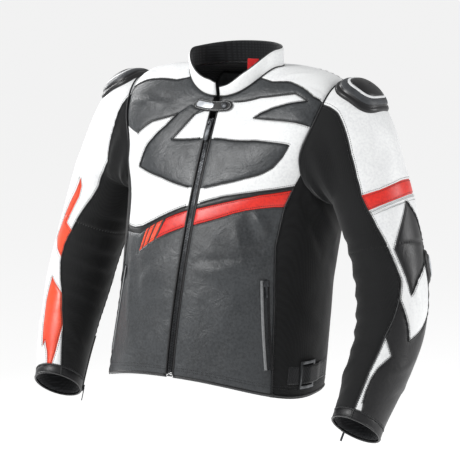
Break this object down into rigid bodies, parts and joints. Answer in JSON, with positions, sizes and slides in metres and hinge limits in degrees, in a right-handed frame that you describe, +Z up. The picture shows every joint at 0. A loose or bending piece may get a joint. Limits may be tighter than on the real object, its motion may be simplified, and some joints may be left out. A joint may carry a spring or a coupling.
{
  "type": "motorcycle riding jacket",
  "caption": "Padded leather motorcycle riding jacket with stand collar, front zip, stretch panels, shoulder and elbow cups and a connecting zip half.",
  "frame": {"origin": "middle of the neck opening at shoulder height, where the wearer or a hanger carries it", "axes": "+Z up, the front faces -Y, +X is the wearer's left"},
  "size_m": [0.7408, 0.3755, 0.641],
  "materials": {
    "charcoal_leather": "semi-matt grained leather",
    "white_leather": "semi-matt grained leather",
    "black_leather": "semi-matt grained leather",
    "stretch_fabric": "matt ribbed stretch weave",
    "lining_mesh": "matt knitted mesh",
    "armour_foam": "matt moulded foam",
    "red_webbing": "woven tape",
    "zip_metal": "black painted",
    "zip_tape": "woven tape",
    "strap_webbing": "woven webbing",
    "moulded_shell": "satin moulded"
  },
  "bodies": {
    "root": {"lower_front_left": "charcoal_leather", "lower_front_right": "charcoal_leather", "chest_panel_left": "charcoal_leather", "chest_panel_right": "charcoal_leather", "yoke_left": "white_leather", "yoke_right": "white_leather", "side_panel_left": "stretch_fabric", "side_panel_right": "stretch_fabric", "back_panel": "black_leather", "lumbar_panel": "stretch_fabric", "torso_lining": "lining_mesh", "collar": "white_leather", "collar_lining": "lining_mesh", "back_protector": "armour_foam", "hang_loop": "red_webbing", "front_zip_teeth_left": "zip_metal", "front_zip_teeth_right": "zip_metal", "front_zip_tape_left": "zip_tape", "front_zip_tape_right": "zip_tape", "front_zip_stop": "zip_metal", "wind_flap": "black_leather", "collar_tab_stud": "zip_metal", "pocket_zip_left": "zip_tape", "pocket_zip_right": "zip_tape", "connecting_zip": "zip_tape"},
    "slider_front": {"front_zip_slider": "zip_metal"},
    "puller_front": {"front_zip_puller": "zip_metal"},
    "tab": {"collar_tab": "black_leather", "collar_tab_snap": "zip_metal"},
    "slider_connecting": {"connecting_slider": "zip_metal"},
    "slider_pocket_left": {"pocket_slider_left": "zip_metal"},
    "strap_left": {"waist_strap_left": "strap_webbing", "waist_ring_left": "moulded_shell"},
    "arm_left": {"sleeve_head_left": "white_leather", "upper_sleeve_left": "white_leather", "elbow_bellows_left": "stretch_fabric", "sleeve_lining_left": "lining_mesh", "shoulder_cup_left": "moulded_shell", "shoulder_armour_left": "armour_foam", "elbow_cup_left": "moulded_shell"},
    "lower_arm_left": {"forearm_left": "black_leather", "cuff_left": "black_leather", "elbow_armour_left": "armour_foam", "cuff_zip_left": "zip_tape"},
    "slider_cuff_left": {"cuff_zip_slider_left": "zip_metal"},
    "slider_pocket_right": {"pocket_slider_right": "zip_metal"},
    "strap_right": {"waist_strap_right": "strap_webbing", "waist_ring_right": "moulded_shell"},
    "arm_right": {"sleeve_head_right": "white_leather", "upper_sleeve_right": "white_leather", "elbow_bellows_right": "stretch_fabric", "sleeve_lining_right": "lining_mesh", "shoulder_cup_right": "moulded_shell", "shoulder_armour_right": "armour_foam", "elbow_cup_right": "moulded_shell"},
    "lower_arm_right": {"forearm_right": "black_leather", "cuff_right": "black_leather", "elbow_armour_right": "armour_foam", "cuff_zip_right": "zip_tape"},
    "slider_cuff_right": {"cuff_zip_slider_right": "zip_metal"}
  },
  "joints": [
    {"name": "front_zip_run", "type": "hinge", "parent": "root", "child": "slider_front", "pos_m": [0, 1.15874, -0.71341], "axis": [1, 0, 0], "range_deg": [0, 17.17]},
    {"name": "front_zip_puller_swing", "type": "hinge", "parent": "slider_front", "child": "puller_front", "pos_m": [0, -0.0905, -0.06979], "axis": [-1, 0, 0], "range_deg": [0, 150]},
    {"name": "collar_tab_open", "type": "hinge", "parent": "root", "child": "tab", "pos_m": [-0.03823, -0.07168, -0.03963], "axis": [-0.4844, -0.4268, -0.7637], "range_deg": [0, 120]},
    {"name": "connecting_zip_run", "type": "hinge", "parent": "root", "child": "slider_connecting", "pos_m": [0, -0.2643, -0.523], "axis": [0, 0, 1], "range_deg": [0, 34.03]},
    {"name": "pocket_zip_run_left", "type": "hinge", "parent": "root", "child": "slider_pocket_left", "pos_m": [-6.73788, 6.16589, -1.96043], "axis": [0.6767, 0.7362, -0.0048], "range_deg": [0, 0.813]},
    {"name": "waist_strap_peel_left", "type": "hinge", "parent": "root", "child": "strap_left", "pos_m": [0.17398, -0.13198, -0.47713], "axis": [0.0343, -0.2168, -0.9756], "range_deg": [0, 28]},
    {"name": "shoulder_swing_left", "type": "hinge", "parent": "root", "child": "arm_left", "pos_m": [0.214, 0.01, -0.11], "axis": [-1, 0, 0], "range_deg": [-15, 60], "deforming": ["sleeve_head_left"]},
    {"name": "elbow_bend_left", "type": "hinge", "parent": "arm_left", "child": "lower_arm_left", "pos_m": [0.31167, -0.02607, -0.3659], "axis": [-1, 0, 0], "range_deg": [-15, 45], "deforming": ["elbow_bellows_left"]},
    {"name": "cuff_zip_run_left", "type": "hinge", "parent": "lower_arm_left", "child": "slider_cuff_left", "pos_m": [-0.61961, 0.59275, -0.8728], "axis": [-0.6401, -0.6105, 0.4663], "range_deg": [0, 4.54]},
    {"name": "pocket_zip_run_right", "type": "hinge", "parent": "root", "child": "slider_pocket_right", "pos_m": [6.73788, 6.16589, -1.96043], "axis": [0.6767, -0.7362, 0.0048], "range_deg": [0, 0.813]},
    {"name": "waist_strap_peel_right", "type": "hinge", "parent": "root", "child": "strap_right", "pos_m": [-0.17398, -0.13198, -0.47713], "axis": [0.0343, 0.2168, 0.9756], "range_deg": [0, 28]},
    {"name": "shoulder_swing_right", "type": "hinge", "parent": "root", "child": "arm_right", "pos_m": [-0.214, 0.01, -0.11], "axis": [-1, 0, 0], "range_deg": [-15, 60], "deforming": ["sleeve_head_right"]},
    {"name": "elbow_bend_right", "type": "hinge", "parent": "arm_right", "child": "lower_arm_right", "pos_m": [-0.31167, -0.02607, -0.3659], "axis": [-1, 0, 0], "range_deg": [-15, 45], "deforming": ["elbow_bellows_right"]},
    {"name": "cuff_zip_run_right", "type": "hinge", "parent": "lower_arm_right", "child": "slider_cuff_right", "pos_m": [0.61961, 0.59275, -0.8728], "axis": [-0.6401, 0.6105, -0.4663], "range_deg": [0, 4.54]}
  ]
}
